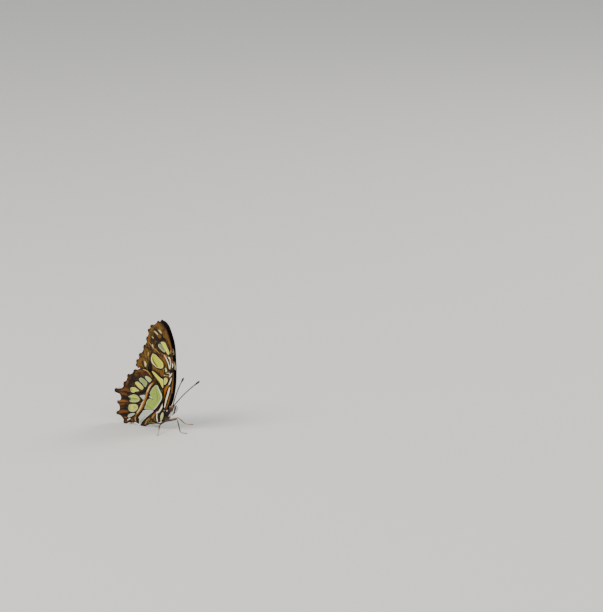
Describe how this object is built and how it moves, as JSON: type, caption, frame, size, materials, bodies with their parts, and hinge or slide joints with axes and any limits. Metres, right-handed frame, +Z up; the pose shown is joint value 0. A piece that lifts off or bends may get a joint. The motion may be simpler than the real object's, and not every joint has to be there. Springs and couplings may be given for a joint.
{
  "type": "malachite butterfly",
  "caption": "Life-size still model of a malachite butterfly standing on the floor, its scalloped, tailed wings closed upright over its body.",
  "frame": {"origin": "middle of the whole model's box, on the floor it stands on", "axes": "+X toward the head, +Y toward the insect's left side, +Z up"},
  "size_m": [0.054, 0.0328, 0.0623],
  "materials": {
    "wing": "matt scales in brown, green, cream and orange",
    "body": "short matt hair, dark above and pale below",
    "eye": "glossy",
    "palp": "white and black scales",
    "antenna": "satin",
    "proboscis": "satin",
    "leg": "satin, finely scaled"
  },
  "bodies": {
    "root": {"abdomen": "body", "antenna_left": "antenna", "antenna_right": "antenna", "eye_left": "eye", "eye_right": "eye", "foreleg_left": "palp", "foreleg_right": "palp", "forewing_left": "wing", "forewing_right": "wing", "head": "body", "hindleg_left_femur": "leg", "hindleg_left_tibia": "leg", "hindleg_right_femur": "leg", "hindleg_right_tibia": "leg", "hindwing_left": "wing", "hindwing_right": "wing", "midleg_left_femur": "leg", "midleg_left_tibia": "leg", "midleg_right_femur": "leg", "midleg_right_tibia": "leg", "palp_left": "palp", "palp_right": "palp", "proboscis": "proboscis", "thorax": "body"}
  },
  "joints": []
}
